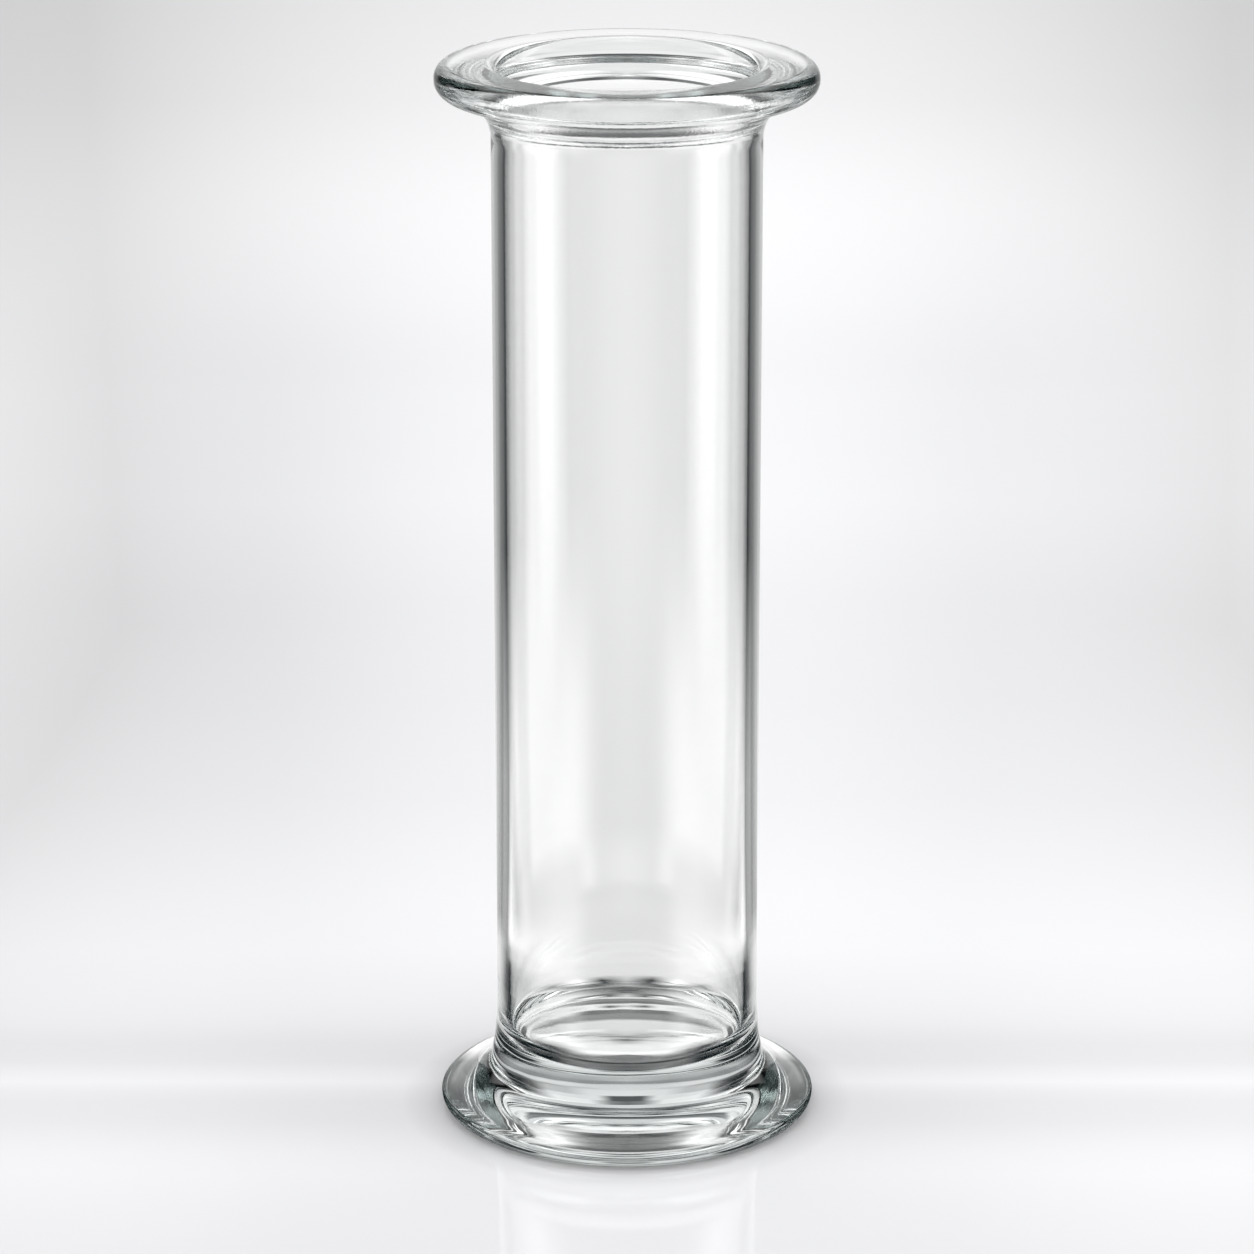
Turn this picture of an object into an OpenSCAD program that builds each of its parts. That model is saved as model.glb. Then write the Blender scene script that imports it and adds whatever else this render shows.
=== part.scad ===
// Gas jar: a tall straight cylinder of clear glass on a broad round foot, with a
// flat-topped flange round its mouth that a flat cover disc closes.
//
// The jar is one piece of glass with the same section all the way round, so it is
// drawn as a glass turner would draw it: one closed run of straight lines and round
// arcs on one side of the axis, spun once. Every arc meets its neighbours without a
// corner, apart from the ground edges of the foot's underside.

/* [Body] */
// Height of the whole jar
jar_h = 200; // [150:1:300]
// Outside diameter of the tube
tube_d = 49.1; // [40:0.1:60]
// Thickness of the tube's wall
wall = 2.45; // [1.8:0.05:3.5]

/* [Flange] */
// How far the flange stands out from the tube
flange_w = 10.15; // [8:0.05:14]
// Height of the flange's outer edge, from its lowest point to its top
flange_t = 5.8; // [5.4:0.1:8]
// Radius of the flange's upper outer corner
flange_top_r = 2.6; // [1.5:0.1:2.7]
// Radius of the flange's lower outer corner
flange_under_r = 2.9; // [1.5:0.1:2.9]
// Radius of the lip between the flange's flat top and the mouth
lip_r = 2.4; // [1.5:0.1:3.5]
// Radius of the long curve that opens the bore out to the lip
mouth_r = 85; // [50:1:110]
// Angle at which the bore leans outwards where it meets the lip
mouth_angle = 10; // [6:1:14]
// Radius of the hollow curve from the tube out to the flange's underside
neck_r = 7.85; // [6:0.05:10]

/* [Foot] */
// How far the foot stands out from the tube
foot_w = 10.7; // [10:0.05:16]
// Radius of the foot's lower outer edge
foot_under_r = 2.2; // [1.5:0.1:3]
// Radius of the tight curve at the widest line of the foot
foot_edge_r = 1; // [0.5:0.1:1.5]
// Radius of the round top of the foot, inside its widest line
foot_crown_r = 6; // [4:0.1:9]
// Distance from the widest line to where the foot's top turns hollow
foot_crown_w = 2.25; // [1.8:0.05:3]
// Angle at which the foot's top rises where it turns hollow
foot_slope = 9; // [5:1:14]
// Height of the crease where the foot's top meets the spread of the tube
crease_z = 10.1; // [8:0.1:10.4]
// Radius of the short curve that softens the crease
crease_r = 1.5; // [0.8:0.1:2]
// Height at which the tube starts to spread
spread_z = 21.6; // [19:0.1:25]
// Radius of the long curve by which the tube spreads
spread_r = 60; // [45:1:90]

/* [Bottom] */
// Height of the lowest point of the inside floor above the table
floor_z = 11; // [9:0.5:15]
// Radius of the shallow dish that forms the inside floor
floor_dish_r = 75; // [50:1:120]
// Radius of the corner between the floor and the wall
floor_corner_r = 5; // [3:0.5:8]
// Width of the flat ring that the jar stands on
stand_w = 4; // [2:0.5:6]
// Depth of the hollow inside the standing ring
hollow_h = 1.2; // [0.6:0.1:2]

/* [Hidden] */
$fn = 180;

tube_r = tube_d / 2;
bore_r = tube_r - wall;
flange_r = tube_r + flange_w;
foot_r = tube_r + foot_w;

// The hollow under the foot is a shallow dome over the space inside the standing ring
hollow_r = foot_r - foot_under_r - stand_w;
dome_r = (hollow_r * hollow_r + hollow_h * hollow_h) / (2 * hollow_h);
dome_angle = asin(hollow_r / dome_r);

// Unit vector at an angle from the radial direction
function dir(a) = [cos(a), sin(a)];

// Angle of the line from point a to point b, counted from 0 to 360
function heading(a, b) = (atan2(b[1] - a[1], b[0] - a[0]) + 360) % 360;

// Foot: the crown rolls on inside the edge's arc and ends at the slope of foot_slope
foot_n = dir(90 - foot_slope);
foot_edge_c = [foot_r - foot_edge_r, foot_under_r];
crown_x = foot_r - foot_crown_w - foot_crown_r * foot_n[0];
crown_c = [crown_x, foot_under_r - sqrt(pow(foot_crown_r - foot_edge_r, 2)
                                        - pow(foot_edge_c[0] - crown_x, 2))];
crown_a = heading(crown_c, foot_edge_c);

// Crease: a short arc that lies inside the spread of the tube
spread_c = [tube_r + spread_r, spread_z];
crease_c = [spread_c[0] - sqrt(pow(spread_r - crease_r, 2) - pow(spread_z - crease_z, 2)),
            crease_z];
spread_a = heading(spread_c, crease_c);

// Fillet: the hollow arc that leaves the crown straight on and takes in the crease's arc
crown_end = crown_c + foot_crown_r * foot_n;
to_crown = crown_end - crease_c;
fillet_r = (pow(crease_r, 2) - to_crown * to_crown) / (2 * (to_crown * foot_n + crease_r));
fillet_c = crown_end + fillet_r * foot_n;
fillet_a = heading(fillet_c, crease_c);

// Flange: the neck's hollow arc leans straight on into the lower outer corner
under_c = [flange_r - flange_under_r, jar_h - flange_t + flange_under_r];
neck_x = tube_r + neck_r;
neck_c = [neck_x, under_c[1] - sqrt(pow(neck_r + flange_under_r, 2)
                                    - pow(neck_x - under_c[0], 2))];
neck_a = heading(neck_c, under_c);

// Mouth: the lip's arc leans straight on into the long curve of the bore
lean = 180 - mouth_angle;
lip_c = [bore_r + mouth_r + (mouth_r - lip_r) * cos(lean), jar_h - lip_r];
mouth_c = [bore_r + mouth_r, lip_c[1] - (mouth_r - lip_r) * sin(lean)];

// Floor: the corner's arc leans straight on into the dish
corner_x = bore_r - floor_corner_r;
corner_c = [corner_x, floor_z + floor_dish_r
                      - sqrt(pow(floor_dish_r - floor_corner_r, 2) - pow(corner_x, 2))];
dish_a = asin(corner_x / (floor_dish_r - floor_corner_r));

// The glass's section as one closed run, anticlockwise from the axis at the bottom.
// Each entry is an arc [r, z, radius, first angle, last angle].
// Angles that grow round a corner of glass, and those that shrink hollow it out.
SECTION = [
    [0, hollow_h - dome_r, dome_r, 90, 90 - dome_angle],
    [foot_r - foot_under_r, foot_under_r, foot_under_r, -90, 0],
    [foot_edge_c[0], foot_edge_c[1], foot_edge_r, 0, crown_a],
    [crown_c[0], crown_c[1], foot_crown_r, crown_a, 90 - foot_slope],
    [fillet_c[0], fillet_c[1], fillet_r, 270 - foot_slope, fillet_a],
    [crease_c[0], crease_c[1], crease_r, fillet_a, spread_a],
    [spread_c[0], spread_c[1], spread_r, spread_a, 180],
    [neck_c[0], neck_c[1], neck_r, 180, neck_a],
    [under_c[0], under_c[1], flange_under_r, neck_a - 180, 0],
    [flange_r - flange_top_r, jar_h - flange_top_r, flange_top_r, 0, 90],
    [lip_c[0], lip_c[1], lip_r, 90, lean],
    [mouth_c[0], mouth_c[1], mouth_r, lean, 180],
    [corner_c[0], corner_c[1], floor_corner_r, 0, dish_a - 90],
    [0, floor_z + floor_dish_r, floor_dish_r, dish_a - 90, -90]
];

// The sliver between an arc and its chord
module sliver(e) {
    c = [e[0], e[1]];
    reach = 2 * e[2];
    intersection() {
        translate(c) circle(r = e[2]);
        polygon([c + e[2] * dir(e[3]), c + reach * dir(e[3]),
                 c + reach * dir((e[3] + e[4]) / 2),
                 c + reach * dir(e[4]), c + e[2] * dir(e[4])]);
    }
}

// A closed run of arcs: chords first, then slivers added or cut away
module outline(run) {
    difference() {
        union() {
            polygon([for (e = run, a = [e[3], e[4]]) [e[0], e[1]] + e[2] * dir(a)]);
            for (e = run) if (e[4] > e[3]) sliver(e);
        }
        for (e = run) if (e[4] < e[3]) sliver(e);
    }
}

// The jar itself, made in one piece
module jar() {
    color([0.78, 0.85, 0.84, 0.5]) rotate_extrude() outline(SECTION);
}

jar();
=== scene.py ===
"""Gas jar: a tall straight jar of clear glass, finished in the frame of its CAD model."""

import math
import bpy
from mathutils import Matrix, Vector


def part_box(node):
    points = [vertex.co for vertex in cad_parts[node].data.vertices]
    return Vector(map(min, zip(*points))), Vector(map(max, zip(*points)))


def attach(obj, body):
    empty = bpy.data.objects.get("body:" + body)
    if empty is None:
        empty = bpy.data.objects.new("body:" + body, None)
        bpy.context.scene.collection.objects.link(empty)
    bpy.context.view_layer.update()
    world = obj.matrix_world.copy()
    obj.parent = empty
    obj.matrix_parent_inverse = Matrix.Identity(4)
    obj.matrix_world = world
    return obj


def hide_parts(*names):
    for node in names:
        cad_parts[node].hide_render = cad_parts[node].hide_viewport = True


bl_info = {
    "name": "Gas Jar",
    "version": (1, 0, 0),
    "blender": (4, 5, 0),
    "location": "View3D > Sidebar > Gas Jar",
    "description": "A clear glass gas jar with a flanged mouth, on a pale studio floor",
    "category": "Add Mesh",
}

import bpy
import numpy as np
from bpy.props import FloatProperty, FloatVectorProperty, IntProperty, PointerProperty, StringProperty
from bpy.types import Operator, Panel, PropertyGroup

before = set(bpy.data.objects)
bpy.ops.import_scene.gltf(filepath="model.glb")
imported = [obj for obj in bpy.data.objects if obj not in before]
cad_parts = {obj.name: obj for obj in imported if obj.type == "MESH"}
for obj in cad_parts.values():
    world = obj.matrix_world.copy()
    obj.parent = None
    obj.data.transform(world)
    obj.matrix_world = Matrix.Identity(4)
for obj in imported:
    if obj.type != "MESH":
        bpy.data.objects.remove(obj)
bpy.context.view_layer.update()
JAR_LOW, JAR_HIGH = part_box("jar")
MM = 0.001
WHITE = "#ffffff"


# ---------------------------------------------------------------- colours and nodes


def linear(hex_colour):
    """An sRGB hex colour as the linear RGBA that a shader takes."""
    srgb = np.array([int(hex_colour[i : i + 2], 16) / 255 for i in (1, 3, 5)])
    rgb = np.where(srgb <= 0.04045, srgb / 12.92, ((srgb + 0.055) / 1.055) ** 2.4)
    return (*(float(c) for c in rgb), 1.0)


def add_node(tree, kind, inputs=None, stops=None, **settings):
    """Add one node: inputs are values or sockets to link, stops fill a ramp up to the last one."""
    node = tree.nodes.new(kind)
    for name, value in settings.items():
        setattr(node, name, value)
    for name, value in (inputs or {}).items():
        if isinstance(value, bpy.types.NodeSocket):
            tree.links.new(value, node.inputs[name])
        else:
            node.inputs[name].default_value = value
    if stops:
        ramp = node.color_ramp.elements
        for _ in stops[2:]:
            ramp.new(1.0)
        for element, (place, level) in zip(ramp, stops):
            element.position = place / stops[-1][0]
            element.color = (level, level, level, 1.0)
    return node


def empty_tree(holder):
    """A holder's node tree with nothing in it."""
    holder.use_nodes = True
    holder.node_tree.nodes.clear()
    return holder.node_tree


# ---------------------------------------------------------------- the section of the glass


# How finely the section is stepped: an arc by ARC_TURN degrees or ARC_STEP, whichever is
# finer, and in at least ARC_LEAST steps. Of the even steps along a straight line only the
# first, the last and one in each LINE_EVERY are kept.
ARC_TURN = 3
ARC_STEP = 1.5 * MM
ARC_LEAST = 4
LINE_EVERY = 12
SAME_PLACE = 0.001 * MM


def direction(degrees):
    """The unit vector at an angle from the radial direction."""
    return np.array([math.cos(math.radians(degrees)), math.sin(math.radians(degrees))])


def heading(a, b):
    """The angle of the line from point a to point b, from 0 to 360."""
    return math.degrees(math.atan2(b[1] - a[1], b[0] - a[0])) % 360


def leg(long_side, short_side):
    """The third side of a right-angled triangle."""
    return math.sqrt(long_side**2 - short_side**2)


def section_arcs(s):
    """The section as one closed run of arcs (centre, radius, first and last angle).

    It starts on the axis under the foot and goes round anticlockwise: hollow, foot,
    crease, tube, neck, flange, mouth, corner of the floor, dish. Each arc leaves its
    neighbour straight on, and what lies between two arcs is a straight line.
    """
    tube_r = s.tube_d / 2
    bore_r = tube_r - s.wall
    flange_r = tube_r + s.flange_w
    foot_r = s.foot_r

    hollow_r = foot_r - s.foot_under_r - s.stand_w
    dome_r = (hollow_r**2 + s.hollow_h**2) / (2 * s.hollow_h)
    dome_angle = math.degrees(math.asin(hollow_r / dome_r))

    foot_n = direction(90 - s.foot_slope)
    edge_c = np.array([foot_r - s.foot_edge_r, s.foot_under_r])
    crown_x = foot_r - s.foot_crown_w - s.foot_crown_r * foot_n[0]
    drop = leg(s.foot_crown_r - s.foot_edge_r, edge_c[0] - crown_x)
    crown_c = np.array([crown_x, s.foot_under_r - drop])
    crown_a = heading(crown_c, edge_c)

    spread_c = np.array([tube_r + s.spread_r, s.spread_z])
    reach = leg(s.spread_r - s.crease_r, s.spread_z - s.crease_z)
    crease_c = np.array([spread_c[0] - reach, s.crease_z])
    spread_a = heading(spread_c, crease_c)

    crown_end = crown_c + s.foot_crown_r * foot_n
    to_crown = crown_end - crease_c
    fillet_r = (s.crease_r**2 - to_crown @ to_crown) / (2 * (to_crown @ foot_n + s.crease_r))
    fillet_c = crown_end + fillet_r * foot_n
    fillet_a = heading(fillet_c, crease_c)

    under_c = np.array([flange_r - s.flange_under_r, s.jar_h - s.flange_t + s.flange_under_r])
    neck_x = tube_r + s.neck_r
    neck_c = np.array([neck_x, under_c[1] - leg(s.neck_r + s.flange_under_r, neck_x - under_c[0])])
    neck_a = heading(neck_c, under_c)

    lean = 180 - s.mouth_angle
    lip_c = np.array([bore_r + s.mouth_r, s.jar_h - s.lip_r])
    lip_c[0] += (s.mouth_r - s.lip_r) * direction(lean)[0]
    mouth_c = np.array([bore_r + s.mouth_r, lip_c[1] - (s.mouth_r - s.lip_r) * direction(lean)[1]])

    corner_x = bore_r - s.floor_corner_r
    dish_z = s.floor_z + s.floor_dish_r
    corner_c = np.array([corner_x, dish_z - leg(s.floor_dish_r - s.floor_corner_r, corner_x)])
    dish_a = math.degrees(math.asin(corner_x / (s.floor_dish_r - s.floor_corner_r)))

    return [
        ((0, s.hollow_h - dome_r), dome_r, 90, 90 - dome_angle),
        ((foot_r - s.foot_under_r, s.foot_under_r), s.foot_under_r, -90, 0),
        (edge_c, s.foot_edge_r, 0, crown_a),
        (crown_c, s.foot_crown_r, crown_a, 90 - s.foot_slope),
        (fillet_c, fillet_r, 270 - s.foot_slope, fillet_a),
        (crease_c, s.crease_r, fillet_a, spread_a),
        (spread_c, s.spread_r, spread_a, 180),
        (neck_c, s.neck_r, 180, neck_a),
        (under_c, s.flange_under_r, neck_a - 180, 0),
        ((flange_r - s.flange_top_r, s.jar_h - s.flange_top_r), s.flange_top_r, 0, 90),
        (lip_c, s.lip_r, 90, lean),
        (mouth_c, s.mouth_r, lean, 180),
        (corner_c, s.floor_corner_r, 0, dish_a - 90),
        ((0, dish_z), s.floor_dish_r, dish_a - 90, -90),
    ]


def arc_points(centre, radius, first, last):
    """Points along an arc: centre + radius * (cos a, sin a), a going evenly from first to last."""
    turn = abs(last - first)
    length = math.radians(turn) * radius
    steps = max(ARC_LEAST, math.ceil(turn / ARC_TURN), math.ceil(length / ARC_STEP))
    angles = np.radians(np.linspace(first, last, steps + 1))
    return np.column_stack([centre[0] + radius * np.cos(angles), centre[1] + radius * np.sin(angles)])


def profile_points(arcs, longest):
    """The whole run as points: each arc's own, and some along the lines between.

    A line has a point one step of at most `longest` from each end, so that the shading of
    the arcs stops there, and a few in between, because a straight side needs no more.
    """
    run = []
    for arc in arcs:
        points = arc_points(*arc)
        if run:
            gap = points[0] - run[-1][-1]
            steps = int(np.hypot(*gap) // longest) + 1
            kept = [step for step in range(1, steps) if step % LINE_EVERY == 1 or step == steps - 1]
            run.append(run[-1][-1] + gap * np.array(kept)[:, None] / steps)
            if np.hypot(*gap) < SAME_PLACE:
                points = points[1:]
        run.append(points)
    return np.concatenate([part for part in run if len(part)])


def spin(profile, columns):
    """Surface of revolution: (r cos u, r sin u, z), u round the axis and (r, z) along the profile.

    The first and last points lie on the axis and become poles, each closed by a fan.
    """
    around = np.arange(columns) * 2 * np.pi / columns
    rings = profile[1:-1]
    grid = np.empty((len(rings), columns, 3))
    grid[..., 0] = rings[:, :1] * np.cos(around)
    grid[..., 1] = rings[:, :1] * np.sin(around)
    grid[..., 2] = rings[:, 1:]
    points = np.concatenate([grid.reshape(-1, 3), [[0, 0, profile[0, 1]], [0, 0, profile[-1, 1]]]])
    here = np.arange(columns)
    ahead = (here + 1) % columns
    row = np.arange(len(rings) - 1)[:, None] * columns
    quads = np.stack([row + here, row + ahead, row + ahead + columns, row + here + columns], -1)
    top = (len(rings) - 1) * columns
    foot_fan = np.stack([np.full(columns, len(points) - 2), ahead, here], -1)
    dish_fan = np.stack([np.full(columns, len(points) - 1), top + here, top + ahead], -1)
    return points, [quads.reshape(-1, 4), foot_fan, dish_fan]


def smooth_mesh(name, points, faces):
    """A mesh of the points and of the arrays of faces, shaded smooth."""
    mesh = bpy.data.meshes.new(name)
    corners = np.concatenate([part.ravel() for part in faces])
    sides = np.concatenate([np.full(len(part), part.shape[1]) for part in faces])
    mesh.vertices.add(len(points))
    mesh.vertices.foreach_set("co", points.astype(np.float32).ravel())
    mesh.loops.add(len(corners))
    mesh.loops.foreach_set("vertex_index", corners.astype(np.int32))
    mesh.polygons.add(len(sides))
    mesh.polygons.foreach_set("loop_start", (np.cumsum(sides) - sides).astype(np.int32))
    mesh.polygons.foreach_set("use_smooth", np.ones(len(sides), bool))
    mesh.update(calc_edges=True)
    mesh.validate()
    return mesh


def show(name, mesh):
    """A new object at the origin, in the scene's collection."""
    piece = bpy.data.objects.new(name, mesh)
    bpy.context.scene.collection.objects.link(piece)
    return piece


# ---------------------------------------------------------------- sizes and finishes


def size_property(name, description, millimetres, low, high):
    """A length that a user may change."""
    return FloatProperty(name=name, description=description, default=millimetres * MM,
                         min=low * MM, max=high * MM, unit="LENGTH", subtype="DISTANCE", precision=5)


class JarSizes(PropertyGroup):
    jar_h: FloatProperty(name="Height", description="Height of the whole jar",
                         default=JAR_HIGH[2], unit="LENGTH", subtype="DISTANCE")
    foot_r: FloatProperty(name="Foot radius", description="Radius of the foot at its widest line",
                          default=JAR_HIGH[0], unit="LENGTH", subtype="DISTANCE")
    tube_d: size_property("Tube", "Outside diameter of the tube", 49.1, 40, 60)
    wall: size_property("Wall", "Thickness of the tube's wall", 2.45, 1.8, 3.5)
    flange_w: size_property("Flange width", "How far the flange stands out from the tube", 10.15, 8, 14)
    flange_t: size_property("Flange height", "Height of the flange's outer edge", 5.8, 5.4, 8)
    flange_top_r: size_property("Flange top", "Radius of the upper outer corner", 2.6, 1.5, 2.7)
    flange_under_r: size_property("Flange underside", "Radius of the lower outer corner", 2.9, 1.5, 2.9)
    lip_r: size_property("Lip", "Radius of the lip between the flat top and the mouth", 2.4, 1.5, 3.5)
    mouth_r: size_property("Mouth", "Radius of the curve that opens the bore", 85, 50, 110)
    mouth_angle: FloatProperty(
        name="Mouth angle", description="Degrees by which the bore leans out at the lip",
        default=10, min=6, max=14)
    neck_r: size_property("Neck", "Radius of the hollow curve under the flange", 7.85, 6, 10)
    foot_under_r: size_property("Foot underside", "Radius of the foot's lower outer edge", 2.2, 1.5, 3)
    foot_edge_r: size_property("Foot edge", "Radius at the widest line of the foot", 1, 0.5, 1.5)
    foot_crown_r: size_property("Foot crown", "Radius of the round top of the foot", 6, 4, 9)
    foot_crown_w: size_property("Crown width", "From the widest line to where the top turns hollow",
                                2.25, 1.8, 3)
    foot_slope: FloatProperty(
        name="Foot slope", description="Degrees by which the foot's top rises there",
        default=9, min=5, max=14)
    crease_z: size_property("Crease height", "Height of the crease above the foot", 10.1, 8, 10.4)
    crease_r: size_property("Crease", "Radius that softens the crease", 1.5, 0.8, 2)
    spread_z: size_property("Spread height", "Height at which the tube starts to spread", 21.6, 19, 25)
    spread_r: size_property("Spread", "Radius by which the tube spreads", 60, 45, 90)
    floor_z: size_property("Floor", "Height of the lowest point of the inside floor", 11, 9, 15)
    floor_dish_r: size_property("Dish", "Radius of the dished floor", 75, 50, 120)
    floor_corner_r: size_property("Floor corner", "Radius between the floor and the wall", 5, 3, 8)
    stand_w: size_property("Standing ring", "Width of the ring that the jar stands on", 4, 2, 6)
    hollow_h: size_property("Hollow", "Depth of the hollow inside the standing ring", 1.2, 0.6, 2)
    columns: IntProperty(name="Columns", description="Steps round the axis, a multiple of four",
                         default=328, min=64, max=328)
    row_step: size_property("Row step", "Longest that a straight side's first step may be", 2, 1, 10)


class GlassFinish(PropertyGroup):
    tint: StringProperty(
        name="Tint", description="Colour that thick glass turns white light to, as sRGB hex",
        default="#b1c0be")
    depth: FloatProperty(name="Absorption", description="Strength of the tint per metre of glass",
                         default=8, min=0)
    ior: FloatProperty(name="Index", description="Refractive index", default=1.52, min=1.4, max=1.7)


class StudioLook(PropertyGroup):
    backdrop: StringProperty(name="Backdrop", description="Colour of the sweep behind, as sRGB hex",
                             default="#f4f5f8")
    floor: StringProperty(name="Floor", description="Colour of the table top, as sRGB hex",
                          default="#fdfdff")
    gloss: FloatProperty(name="Floor roughness", description="Roughness of the table top", default=0.07,
                         min=0, max=1)
    eye: FloatVectorProperty(name="Camera place", description="Where the camera stands", size=3,
                             default=(0, -0.88426, 0.3733), unit="LENGTH", subtype="XYZ")
    dip: FloatProperty(name="Camera dip", description="How far the camera looks down", default=0.306,
                       unit="ROTATION", subtype="ANGLE")
    lens: FloatProperty(name="Lens", description="Focal length in millimetres on a 36 mm sensor",
                        default=143.58, min=20, max=400)


# ---------------------------------------------------------------- glass


# The cords: waves to the metre (one in 29 mm round the jar, one in 8 mm up it), their lean
# in radians, the height where they end and that where they are deepest, and their depth.
CORD_GRAIN = (35, 35, 120)
CORD_LEAN = (0.12, -0.1, 0)
CORD_TOP, CORD_FULL = 60 * MM, 12 * MM
CORD_DEPTH = 0.05 * MM
# The flange's grain: its size and depth, the heights between which it comes up, and how far
# each side of the jar's middle it fades from the front to the back.
PEEL_GRAIN = 0.5 * MM
PEEL_DEPTH = 0.02 * MM
PEEL_NONE, PEEL_FULL = 187 * MM, 193 * MM
PEEL_END = 12 * MM


def clear_glass(finish):
    """Clear soda-lime glass, blown and fire-polished.

    The surface is smooth, so it shows sharp lights and dark edges; the iron in the melt
    gives the thick parts a faint grey green.
    """
    material = bpy.data.materials.new("clear soda-lime glass, fire-polished")
    tree = empty_tree(material)
    place = add_node(tree, "ShaderNodeTexCoord").outputs["Object"]
    part = add_node(tree, "ShaderNodeSeparateXYZ", {0: place})
    # Cords: faint waves left by the gather, long round the jar and short up it, low down only
    drawn = add_node(tree, "ShaderNodeMapping",
                     {"Vector": place, "Rotation": CORD_LEAN, "Scale": CORD_GRAIN})
    waves = add_node(tree, "ShaderNodeTexNoise", {
        "Vector": drawn.outputs[0], "Scale": 1, "Detail": 2, "Roughness": 0.55, "Distortion": 0.6})
    low = add_node(tree, "ShaderNodeMapRange", {
        "Value": part.outputs[2], "From Min": CORD_TOP, "From Max": CORD_FULL})
    cords = add_node(tree, "ShaderNodeMath", {0: waves.outputs[0], 1: low.outputs[0]},
                     operation="MULTIPLY")
    ripple = add_node(tree, "ShaderNodeBump", {
        "Strength": 1, "Distance": CORD_DEPTH, "Height": cords.outputs[0]})
    # Orange peel: the flange is tooled on one side while it sets, which leaves a fine grain
    grain = add_node(tree, "ShaderNodeTexNoise", {"Vector": place, "Scale": 1 / PEEL_GRAIN, "Detail": 2})
    high = add_node(tree, "ShaderNodeMapRange", {
        "Value": part.outputs[2], "From Min": PEEL_NONE, "From Max": PEEL_FULL})
    peel = add_node(tree, "ShaderNodeMath", {0: grain.outputs[0], 1: high.outputs[0]},
                    operation="MULTIPLY")
    side = add_node(tree, "ShaderNodeMapRange", {
        "Value": part.outputs[1], "From Min": PEEL_END, "From Max": -PEEL_END})
    peel = add_node(tree, "ShaderNodeMath", {0: peel.outputs[0], 1: side.outputs[0]},
                    operation="MULTIPLY")
    skin = add_node(tree, "ShaderNodeBump", {
        "Strength": 1, "Distance": PEEL_DEPTH, "Height": peel.outputs[0],
        "Normal": ripple.outputs[0]})
    surface = add_node(tree, "ShaderNodeBsdfPrincipled", {
        "Base Color": linear(WHITE), "Roughness": 0.0, "IOR": finish.ior,
        "Transmission Weight": 1.0, "Normal": skin.outputs[0]})
    inside = add_node(tree, "ShaderNodeVolumeAbsorption",
                      {"Color": linear(finish.tint), "Density": finish.depth})
    add_node(tree, "ShaderNodeOutputMaterial",
             {"Surface": surface.outputs["BSDF"], "Volume": inside.outputs["Volume"]})
    return material


class GASJAR_OT_glass(Operator):
    """Spin the jar's section and give it its glass"""

    bl_idname = "gasjar.glass"
    bl_label = "Glass Jar"

    def execute(self, context):
        sizes = context.scene.gasjar_sizes
        profile = profile_points(section_arcs(sizes), sizes.row_step)
        points, faces = spin(profile, sizes.columns)
        jar = show("glass_jar", smooth_mesh("glass_jar", points, faces))
        jar.data.materials.append(clear_glass(context.scene.gasjar_glass))
        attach(jar, "root")
        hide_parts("jar")
        return {"FINISHED"}


# ---------------------------------------------------------------- stage

# How bright the studio is to the glass, by degrees round from behind the jar to in front
# of it, the same on both sides. LEVEL is at the horizon, and each row after it is higher.
# Behind stands the pale sweep with a dark gap above it. Black cards stand at the back
# corners, a tall lamp shines at each side, a soft lamp hangs high in front, and the room
# in front is dark.
LEVEL = ((0, 0.92), (6, 0.88), (9, 0.72), (15, 0.6), (18, 0.46), (26, 0.36), (31, 0.2), (40, 0.15),
         (46, 0), (53, 0), (57, 0.28), (60, 0.3), (66, 1.8), (75, 1.05), (78, 1.8), (83, 2.2),
         (103, 2.2), (115, 1.3), (117.5, 0.3), (120, 0.1), (145, 0.1), (160, 0.35), (180, 0.4))
LOW = ((0, 1), (10, 0.95), (16, 0.6), (23, 0.6), (29, 0.03), (43, 0.01), (50, 1), (60, 1.6),
       (68, 0.3), (76, 0.1), (85, 0.05), (180, 0))
GAP = ((0, 0.1), (4, 0.1), (8, 1), (24, 0.9), (28, 0.02), (66, 0.02), (76, 1.2), (85, 2.4),
       (105, 2.2), (118, 0.8), (128, 0.2), (140, 0.01), (180, 0))
RISE = ((0, 0.2), (5, 0.3), (12, 1.1), (25, 1.1), (36, 0.3), (44, 0.02), (62, 0.01), (72, 0.9),
        (82, 2.5), (98, 2), (110, 0.6), (122, 0.1), (140, 0), (180, 0))
HIGH = ((0, 0.9), (8, 0.9), (18, 1.7), (35, 1.5), (50, 0.9), (60, 1.2), (75, 0.9), (95, 1),
        (112, 0.4), (130, 0.7), (142, 0.3), (152, 0.02), (180, 0))
TOP = ((0, 0.9), (25, 0.6), (50, 0.8), (62, 1.6), (80, 0.6), (100, 0.05), (120, 0.05), (140, 1.4),
       (160, 2.1), (180, 2.3))
# The same on the table, painted on it as a glow that only glass and mirror rays see, each row
# further from the middle of the jar: pale under the hollow, light at the back corners and dark in
# front where the foot stands, and then painted light and shade from the cards and the lamps.
UNDER = ((0, 1.2), (85, 1.2), (105, 0.9), (125, 0.3), (140, 0), (180, 0))
HOLLOW = ((0, 0.02), (8, 0.3), (20, 0.9), (60, 1.5), (74, 0.8), (86, 0.1), (100, 0), (130, 0),
          (150, 0.2), (180, 0.1))
CONTACT = ((0, 0.4), (10, 0), (20, 0.15), (30, 1.5), (42, 0.9), (60, 1.1), (70, 0.3), (88, 0.15),
           (98, 0), (180, 0))
EDGE = ((0, 0.7), (7, 0), (14, 1.3), (22, 0.35), (30, 1.1), (60, 1.1), (70, 0), (180, 0))
CLOSE = ((0, 0.9), (20, 0.9), (30, 0.8), (42, 0.8), (50, 0.4), (58, 0), (180, 0))
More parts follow.
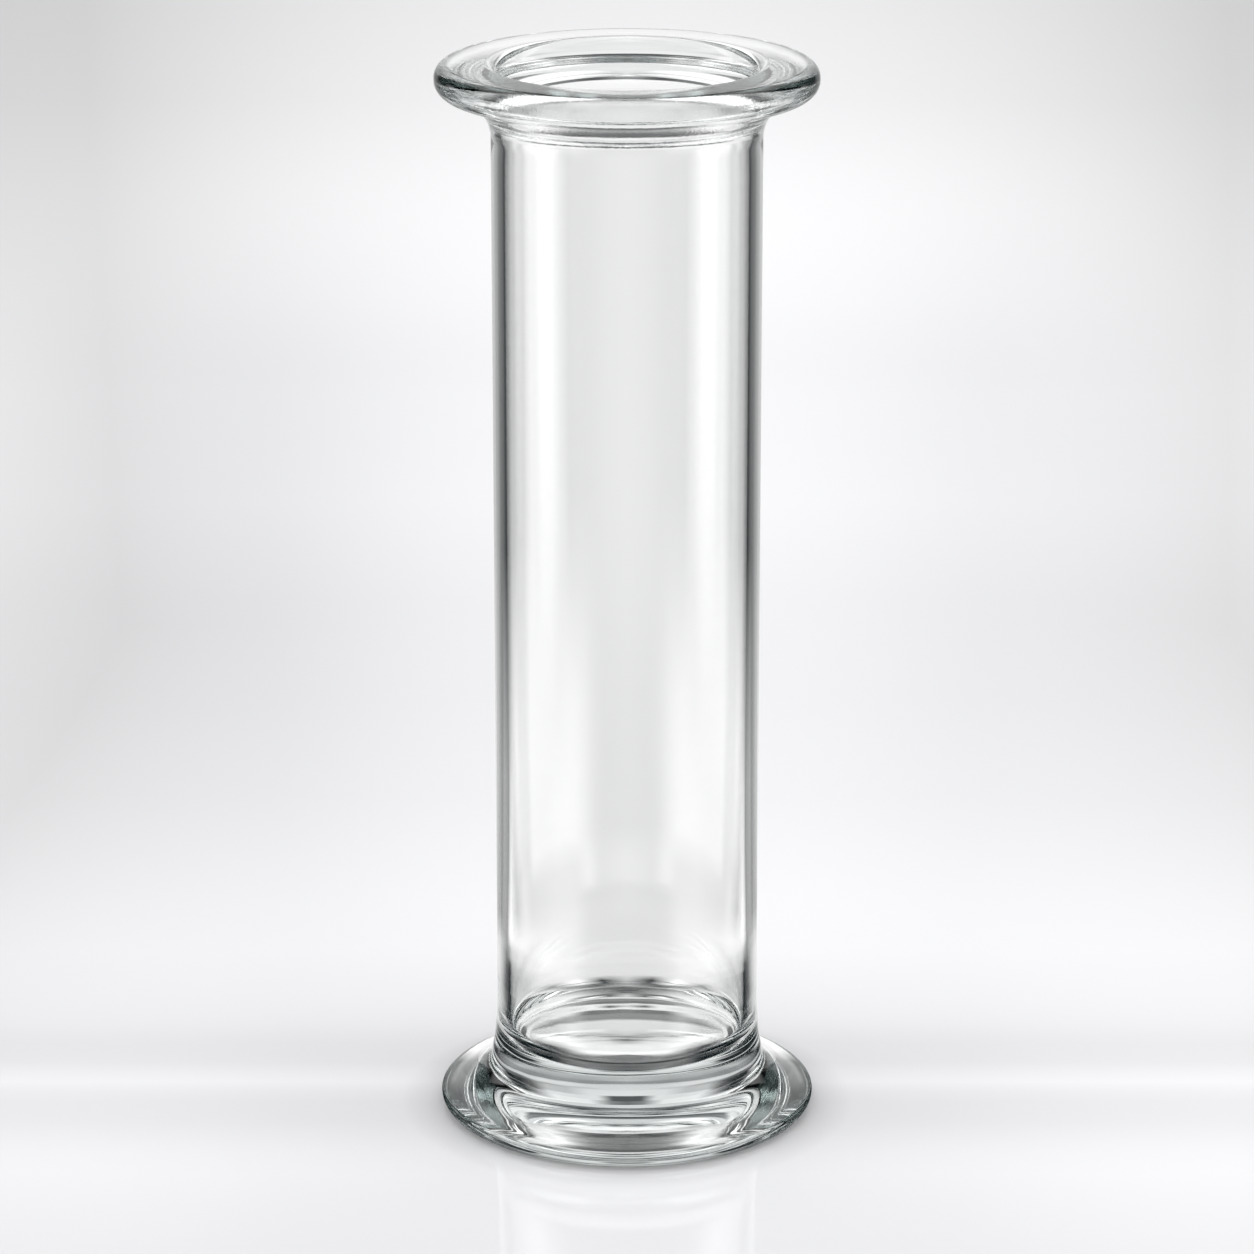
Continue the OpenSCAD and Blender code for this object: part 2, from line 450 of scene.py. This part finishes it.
BESIDE = ((0, 0.9), (24, 0.9), (40, 0.7), (50, 0.1), (60, 0), (120, 0), (128, 1), (136, 2),
          (150, 0.7), (180, 1))
NEAR = ((0, 0.92), (22, 0.75), (28, 0.2), (34, 0.2), (40, 0.6), (50, 0), (58, 1.6), (72, 1.6),
        (88, 1.4), (105, 1.6), (120, 1.8), (135, 1.5), (148, 0.3), (160, 0.02), (180, 0))
# The colour of the darkest part, which is a room and not a void
SHADE = "#0c171a"
# Where each row gives way to the next: by the sine of the height above the horizon, and by
# metres from the middle of the jar
SKY = (LEVEL, ((0.01, 0.05), LOW), ((0.22, 0.25), GAP), ((0.42, 0.45), RISE),
       ((0.6, 0.66), HIGH), ((0.87, 0.98), TOP))
PAINTED_TABLE_LIGHT = (UNDER, ((0.009, 0.014), HOLLOW), ((0.026, 0.028), CONTACT), ((0.032, 0.034), EDGE),
         ((0.039, 0.046), CLOSE), ((0.062, 0.072), BESIDE), ((0.09, 0.11), NEAR), ((0.2, 0.38), LEVEL))
# A painted pool of light on the table, with painted shade just in front of and behind the jar: its level
# by metres behind the jar
PAINTED_POOL = ((-0.1, 0.84), (-0.07, 0.84), (-0.05, 0.88), (-0.035, 0.92), (-0.025, 0.91), (-0.011, 0.84),
        (0, 0.84), (0.008, 0.95), (0.018, 0.83), (0.028, 0.83), (0.038, 0.89), (0.05, 0.92),
        (0.077, 0.96), (0.106, 0.95), (0.17, 0.9), (0.24, 0.89), (0.32, 0.91), (0.41, 0.98),
        (0.52, 0.99), (0.64, 0.94), (0.78, 0.85), (0.95, 0.74), (1.15, 0.68))
# It falls off with the square of the distance to the side of its middle, over a width that
# grows from the jar to POOL_DEEP behind it. SIDE_FALL is how fast it falls, at the jar and
# from FALL_DEEP behind it on, and it never falls below POOL_LEAST.
POOL_MIDDLE = 0.012
POOL_DEEP = 1.2
POOL_WIDTH = (0.9, 2.1)
FALL_DEEP = 0.3
SIDE_FALL = (-7, -26)
POOL_LEAST = 0.66
# Right round the foot a shadow is painted on the table: from where to where, and how much light is left
FOOT_SHADE = (0.0345, 0.043)
FOOT_SHADOW_LIGHT_LEFT = 0.8
# The lacquer: its index, and the most that it mirrors
BOARD_IOR = 1.4
BOARD_MIRROR = 0.24
# The table runs up into the sweep between these distances
SWEEP_RISE = (1.4, 6)
# What lights the table: plain light from all round, and a share of the lamps'
FILL = 1.0
LAMP_SHARE = 0.42
# How often light may turn in the glass
GLASS_TURNS = 64
# How far the table reaches each way, and how far it lies under the foot
FLOOR_HALF = 30.0
FLOOR_DROP = 0.2 * MM


def degrees_round(tree, place):
    """How far round from behind the jar a direction or a place lies: |atan2(x, y)| / pi."""
    part = add_node(tree, "ShaderNodeSeparateXYZ", {0: place})
    turn = add_node(tree, "ShaderNodeMath", {0: part.outputs[0], 1: part.outputs[1]},
                    operation="ARCTAN2")
    turn = add_node(tree, "ShaderNodeMath", {0: turn.outputs[0]}, operation="ABSOLUTE")
    turn = add_node(tree, "ShaderNodeMath", {0: turn.outputs[0], 1: math.pi}, operation="DIVIDE")
    return turn.outputs[0]


def light_pattern(tree, turn, measure, bands):
    """Brightness by degrees round, passing from band to band as the measure grows."""
    seen = add_node(tree, "ShaderNodeValToRGB", {0: turn}, bands[0]).outputs[0]
    for (begin, end), levels in bands[1:]:
        share = add_node(tree, "ShaderNodeMapRange",
                         {"Value": measure, "From Min": begin, "From Max": end})
        band = add_node(tree, "ShaderNodeValToRGB", {0: turn}, levels)
        seen = add_node(tree, "ShaderNodeMix", {0: share.outputs[0], 6: seen, 7: band.outputs[0]},
                        data_type="RGBA").outputs[2]
    shade = linear(SHADE)[:3]
    lift = [1 - part for part in shade]
    return add_node(tree, "ShaderNodeVectorMath", {0: seen, 1: lift, 2: shade},
                    operation="MULTIPLY_ADD").outputs[0]


def studio_world(studio):
    """Pale light from all round: glass sees the cards and the lamps, the camera the sweep."""
    world = bpy.data.worlds.new("pale studio")
    bpy.context.scene.world = world
    tree = empty_tree(world)
    place = add_node(tree, "ShaderNodeTexCoord").outputs["Generated"]
    height = add_node(tree, "ShaderNodeSeparateXYZ", {0: place}).outputs[2]
    seen = light_pattern(tree, degrees_round(tree, place), height, SKY)
    path = add_node(tree, "ShaderNodeLightPath")
    glass = add_node(tree, "ShaderNodeBackground", {"Color": seen})
    lamps = add_node(tree, "ShaderNodeBackground", {"Color": seen, "Strength": LAMP_SHARE})
    fill = add_node(tree, "ShaderNodeBackground", {"Color": linear(WHITE), "Strength": FILL})
    light = add_node(tree, "ShaderNodeAddShader", {0: lamps.outputs[0], 1: fill.outputs[0]})
    sweep = add_node(tree, "ShaderNodeBackground", {"Color": linear(studio.backdrop)})
    mixed = add_node(tree, "ShaderNodeMixShader", {
        0: path.outputs["Is Diffuse Ray"], 1: glass.outputs[0], 2: light.outputs[0]})
    mixed = add_node(tree, "ShaderNodeMixShader", {
        0: path.outputs["Is Camera Ray"], 1: mixed.outputs[0], 2: sweep.outputs[0]})
    add_node(tree, "ShaderNodeOutputWorld", {0: mixed.outputs[0]})


def table_top(studio):
    """Pale lacquered board: slightly glossy, so it mirrors the foot softly.

    Its colour is a painted pool of light, with a painted shadow round the foot; glass and the mirror see
    a glow of painted light and shade on it instead.
    """
    material = bpy.data.materials.new("pale lacquered board with painted light")
    tree = empty_tree(material)
    place = add_node(tree, "ShaderNodeTexCoord").outputs["Object"]
    part = add_node(tree, "ShaderNodeSeparateXYZ", {0: place})
    far = add_node(tree, "ShaderNodeVectorMath", {0: place}, operation="LENGTH").outputs["Value"]
    seen = light_pattern(tree, degrees_round(tree, place), far, PAINTED_TABLE_LIGHT)
    # The painted pool of light: a run of levels by distance behind, less a part that grows sideways
    begin, end = PAINTED_POOL[0][0], PAINTED_POOL[-1][0]
    behind = add_node(tree, "ShaderNodeMapRange", {
        "Value": part.outputs[1], "From Min": begin, "From Max": end})
    painted_light_colour = add_node(tree, "ShaderNodeValToRGB", {0: behind.outputs[0]},
                    [(y - begin, level) for y, level in PAINTED_POOL])
    width = add_node(tree, "ShaderNodeMapRange", {
        "Value": part.outputs[1], "From Min": 0, "From Max": POOL_DEEP,
        "To Min": POOL_WIDTH[0], "To Max": POOL_WIDTH[1]})
    aside = add_node(tree, "ShaderNodeMath", {0: part.outputs[0], 1: POOL_MIDDLE},
                     operation="SUBTRACT")
    aside = add_node(tree, "ShaderNodeMath", {0: aside.outputs[0], 1: width.outputs[0]},
                     operation="DIVIDE")
    fall = add_node(tree, "ShaderNodeMath", {0: aside.outputs[0], 1: aside.outputs[0]},
                    operation="MULTIPLY")
    speed = add_node(tree, "ShaderNodeMapRange", {
        "Value": part.outputs[1], "From Min": 0, "From Max": FALL_DEEP,
        "To Min": SIDE_FALL[0], "To Max": SIDE_FALL[1]})
    keep = add_node(tree, "ShaderNodeMath", {0: fall.outputs[0], 1: speed.outputs[0], 2: 1},
                    operation="MULTIPLY_ADD")
    keep = add_node(tree, "ShaderNodeMath", {0: keep.outputs[0], 1: POOL_LEAST},
                    operation="MAXIMUM")
    # A shadow painted on the table right round the foot
    painted_foot_shadow = add_node(tree, "ShaderNodeMapRange", {
        "Value": far, "From Min": FOOT_SHADE[0], "From Max": FOOT_SHADE[1], "To Min": FOOT_SHADOW_LIGHT_LEFT})
    keep = add_node(tree, "ShaderNodeMath", {0: keep.outputs[0], 1: painted_foot_shadow.outputs[0]},
                    operation="MULTIPLY")
    # The painted pool of light and the painted foot shadow, times the floor's own colour
    painted_light_colour = add_node(tree, "ShaderNodeVectorMath", {0: painted_light_colour.outputs[0], 3: keep.outputs[0]},
                    operation="SCALE")
    painted_light_colour = add_node(tree, "ShaderNodeVectorMath",
                    {0: painted_light_colour.outputs[0], 1: linear(studio.floor)[:3]}, operation="MULTIPLY")
    # The lacquer mirrors more at a low angle, up to the share of a dull varnish
    matt = add_node(tree, "ShaderNodeBsdfDiffuse", {"Color": painted_light_colour.outputs[0]})
    mirror = add_node(tree, "ShaderNodeBsdfGlossy",
                      {"Color": linear(WHITE), "Roughness": studio.gloss})
    lacquer = add_node(tree, "ShaderNodeFresnel", {"IOR": BOARD_IOR})
    lacquer = add_node(tree, "ShaderNodeMath", {0: lacquer.outputs[0], 1: BOARD_MIRROR},
                       operation="MINIMUM")
    board = add_node(tree, "ShaderNodeMixShader", {
        0: lacquer.outputs[0], 1: matt.outputs[0], 2: mirror.outputs[0]})
    # Far off, the table runs up into the sweep and takes its colour
    sweep = add_node(tree, "ShaderNodeEmission", {"Color": linear(studio.backdrop)})
    away = add_node(tree, "ShaderNodeMapRange", {
        "Value": far, "From Min": SWEEP_RISE[0], "From Max": SWEEP_RISE[1]})
    board = add_node(tree, "ShaderNodeMixShader", {
        0: away.outputs[0], 1: board.outputs[0], 2: sweep.outputs[0]})
    # Glass and mirror rays see the table as a glow of painted light and shade, not as the board
    path = add_node(tree, "ShaderNodeLightPath")
    by_glass = add_node(tree, "ShaderNodeMath", {
        0: path.outputs["Is Glossy Ray"], 1: path.outputs["Is Transmission Ray"]},
        operation="MAXIMUM")
    painted_glow = add_node(tree, "ShaderNodeEmission", {"Color": seen})
    mixed = add_node(tree, "ShaderNodeMixShader", {
        0: by_glass.outputs[0], 1: board.outputs[0], 2: painted_glow.outputs[0]})
    add_node(tree, "ShaderNodeOutputMaterial", {0: mixed.outputs[0]})
    return material


class GASJAR_OT_stage(Operator):
    """Lay the floor, light the studio and set the camera"""

    bl_idname = "gasjar.stage"
    bl_label = "Stage"

    def execute(self, context):
        studio = context.scene.gasjar_studio
        half, low = FLOOR_HALF, JAR_LOW[2] - FLOOR_DROP
        corners = np.array([[-half, -half, low], [half, -half, low],
                            [half, half, low], [-half, half, low]])
        floor = show("floor", smooth_mesh("floor", corners, [np.array([[0, 1, 2, 3]])]))
        floor.data.materials.append(table_top(studio))
        studio_world(studio)
        lens = bpy.data.cameras.new("camera")
        lens.sensor_width, lens.lens = 36, studio.lens
        lens.clip_start, lens.clip_end = 0.01, 100
        camera = show("camera", lens)
        camera.location = studio.eye
        camera.rotation_euler = (math.pi / 2 - studio.dip, 0, 0)
        context.scene.camera = camera
        context.scene.view_settings.view_transform = "Standard"
        for depth in ("max_bounces", "transmission_bounces", "glossy_bounces"):
            setattr(context.scene.cycles, depth, GLASS_TURNS)
        return {"FINISHED"}


# ---------------------------------------------------------------- panel


class GASJAR_PT_panel(Panel):
    bl_idname = "GASJAR_PT_panel"
    bl_label = "Gas Jar"
    bl_space_type = "VIEW_3D"
    bl_region_type = "UI"
    bl_category = "Gas Jar"

    def draw(self, context):
        scene = context.scene
        for title, group, operator in (
            ("Sizes", scene.gasjar_sizes, None),
            ("Glass", scene.gasjar_glass, GASJAR_OT_glass),
            ("Studio", scene.gasjar_studio, GASJAR_OT_stage),
        ):
            box = self.layout.box()
            box.label(text=title)
            for name in group.bl_rna.properties.keys():
                if name not in {"rna_type", "name"}:
                    box.prop(group, name)
            if operator:
                box.operator(operator.bl_idname)


CLASSES = (JarSizes, GlassFinish, StudioLook, GASJAR_OT_glass, GASJAR_OT_stage, GASJAR_PT_panel)
GROUPS = {"gasjar_sizes": JarSizes, "gasjar_glass": GlassFinish, "gasjar_studio": StudioLook}


def register():
    for cls in CLASSES:
        bpy.utils.register_class(cls)
    for name, group in GROUPS.items():
        setattr(bpy.types.Scene, name, PointerProperty(type=group))


def unregister():
    for name in GROUPS:
        delattr(bpy.types.Scene, name)
    for cls in reversed(CLASSES):
        bpy.utils.unregister_class(cls)


def main():
    register()
    bpy.ops.gasjar.glass()
    bpy.ops.gasjar.stage()


if __name__ == "__main__":
    main()
